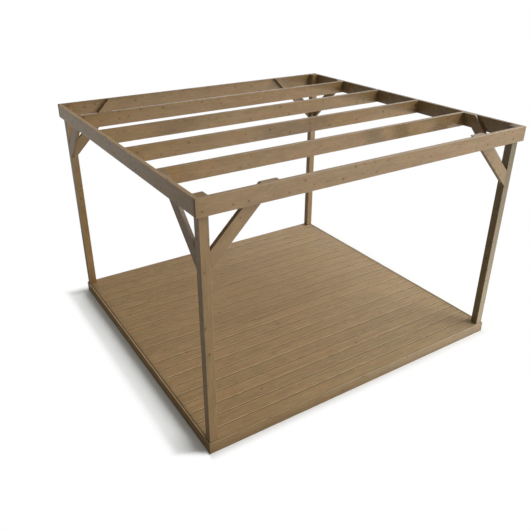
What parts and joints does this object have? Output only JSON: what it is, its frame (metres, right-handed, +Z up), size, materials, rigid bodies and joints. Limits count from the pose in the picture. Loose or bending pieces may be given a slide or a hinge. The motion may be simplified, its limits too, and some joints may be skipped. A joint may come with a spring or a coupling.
{
  "type": "decked wooden box pergola",
  "caption": "Open box-shaped wooden garden pergola on a low reeded deck: corner posts with 45 degree braces carry a rim of beams and cross rafters",
  "frame": {"origin": "on the ground, at the middle of the plan", "axes": "+X along the front beam to the right as seen from the front, +Y from front to back, +Z up"},
  "size_m": [3.6, 3.415, 2.4],
  "materials": {
    "post_timber": "planed softwood, brown pressure treatment, matt",
    "roof_timber": "planed softwood, brown pressure treatment, matt",
    "brace_timber": "planed softwood, brown pressure treatment, matt",
    "fascia_timber": "planed softwood, brown pressure treatment, matt",
    "joist_timber": "planed softwood, brown pressure treatment, matt",
    "deck_timber": "reeded softwood decking, brown pressure treatment, matt"
  },
  "bodies": {
    "root": {"post_front_left": "post_timber", "post_front_right": "post_timber", "post_back_left": "post_timber", "post_back_right": "post_timber", "beam_front": "roof_timber", "beam_back": "roof_timber", "beam_left": "roof_timber", "beam_right": "roof_timber", "rafter_1": "roof_timber", "rafter_2": "roof_timber", "rafter_3": "roof_timber", "rafter_4": "roof_timber", "brace_front_beam_left": "brace_timber", "brace_front_beam_right": "brace_timber", "brace_back_beam_left": "brace_timber", "brace_back_beam_right": "brace_timber", "brace_left_beam_front": "brace_timber", "brace_left_beam_back": "brace_timber", "brace_right_beam_front": "brace_timber", "brace_right_beam_back": "brace_timber", "fascia_front": "fascia_timber", "fascia_back": "fascia_timber", "fascia_left": "fascia_timber", "fascia_right": "fascia_timber", "rim_joist_front": "joist_timber", "rim_joist_back": "joist_timber", "rim_joist_left": "joist_timber", "rim_joist_right": "joist_timber", "joist_1": "joist_timber", "joist_2": "joist_timber", "joist_3": "joist_timber", "joist_4": "joist_timber", "joist_5": "joist_timber", "joist_6": "joist_timber", "joist_7": "joist_timber", "deck_boards_1": "deck_timber", "deck_boards_2": "deck_timber", "deck_boards_3": "deck_timber", "deck_boards_4": "deck_timber", "deck_boards_5": "deck_timber", "deck_boards_6": "deck_timber", "deck_boards_7": "deck_timber", "deck_boards_8": "deck_timber"}
  },
  "joints": []
}
